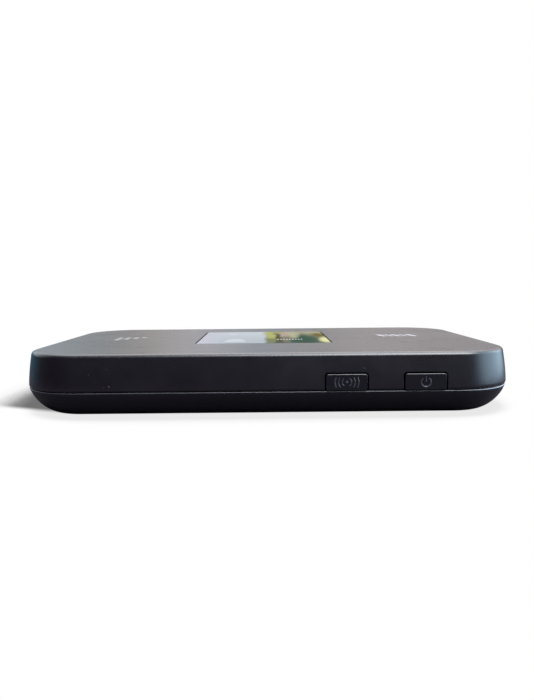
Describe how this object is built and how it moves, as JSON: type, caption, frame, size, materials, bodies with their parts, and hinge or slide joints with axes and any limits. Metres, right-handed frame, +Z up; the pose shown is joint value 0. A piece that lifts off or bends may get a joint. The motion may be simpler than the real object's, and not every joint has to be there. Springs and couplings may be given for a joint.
{
  "type": "mobile hotspot",
  "caption": "Flat, rounded pocket hotspot with a small colour screen on top, push buttons in one long side and a rear cover that comes off the battery.",
  "frame": {"origin": "middle of the flat bottom face that the hotspot rests on", "axes": "+X runs along the long side, to the right seen from the side with the buttons; -Y is the side with the buttons; +Z is up through the screen"},
  "size_m": [0.107, 0.0642, 0.0136],
  "materials": {
    "shell_plastic": "satin dark grey with a fine grain",
    "rear_plastic": "matte near-black",
    "frame_plastic": "moulded black",
    "screen": "clear glossy window over a lit picture",
    "lcd": "laminated display glass",
    "light_guide": "milky clear",
    "foam": "soft black foam",
    "sheet_steel": "plated sheet",
    "screw": "blackened",
    "chip": "moulded black epoxy",
    "connector_plastic": "ivory nylon",
    "board": "green solder mask",
    "flex": "amber film",
    "contact": "gold plated",
    "cell": "printed film wrap over an aluminium can",
    "label": "blank white label",
    "card": "white card plastic"
  },
  "bodies": {
    "rear_cover": {"rear_cover": "rear_plastic", "cover_foam_pad": "foam"},
    "main_unit": {"top_cover": "shell_plastic", "inner_frame": "frame_plastic", "screen_lens": "screen", "lens_adhesive": "foam", "lcd_tray": "sheet_steel", "lcd_backlight": "light_guide", "lcd_glass": "lcd", "lcd_gasket": "foam", "lcd_flex": "flex", "wps_switch": "sheet_steel", "power_switch": "sheet_steel", "circuit_board": "board", "baseband_shield": "sheet_steel", "radio_shield": "sheet_steel", "baseband_processor": "chip", "memory_chip": "chip", "power_chip": "chip", "radio_transceiver": "chip", "wifi_chip": "chip", "screen_connector": "connector_plastic", "main_antenna": "flex", "second_antenna": "flex", "wifi_antenna": "flex", "main_antenna_spring": "contact", "second_antenna_spring": "contact", "wifi_antenna_spring": "contact", "usb_shell": "sheet_steel", "usb_tongue": "chip", "sim_socket": "sheet_steel", "reset_switch": "sheet_steel", "battery_connector": "connector_plastic", "contact_spring_1": "contact", "contact_spring_2": "contact", "contact_spring_3": "contact", "contact_spring_4": "contact", "rating_label": "label", "screw_1": "screw", "screw_2": "screw", "screw_3": "screw", "screw_4": "screw", "screw_5": "screw", "screw_6": "screw"},
    "battery": {"battery_cell": "cell", "battery_end_cap": "frame_plastic", "battery_pad_1": "contact", "battery_pad_2": "contact", "battery_pad_3": "contact", "battery_pad_4": "contact"},
    "wps_button": {"wps_button": "shell_plastic", "wps_plunger": "chip"},
    "power_button": {"power_button": "shell_plastic", "power_plunger": "chip"},
    "reset_button": {"reset_plunger": "frame_plastic"},
    "sim_card": {"sim_card": "card"}
  },
  "joints": [
    {"name": "cover_release", "type": "slide", "parent": "rear_cover", "child": "main_unit", "axis": [0, 0, 1], "range_m": [0, 0.02]},
    {"name": "battery_lift", "type": "slide", "parent": "rear_cover", "child": "battery", "axis": [0, 0, 1], "range_m": [0, 0.008]},
    {"name": "wps_press", "type": "slide", "parent": "main_unit", "child": "wps_button", "axis": [0, 1, 0], "range_m": [0, 0.0003]},
    {"name": "power_press", "type": "slide", "parent": "main_unit", "child": "power_button", "axis": [0, 1, 0], "range_m": [0, 0.0003]},
    {"name": "reset_press", "type": "slide", "parent": "main_unit", "child": "reset_button", "axis": [0, 0, 1], "range_m": [0, 0.00025]},
    {"name": "sim_slide", "type": "slide", "parent": "main_unit", "child": "sim_card", "axis": [1, 0, 0], "range_m": [0, 0.01]}
  ],
  "couplings": [
    {"joint": "battery_lift", "follows": "cover_release", "ratio": 0.4}
  ]
}
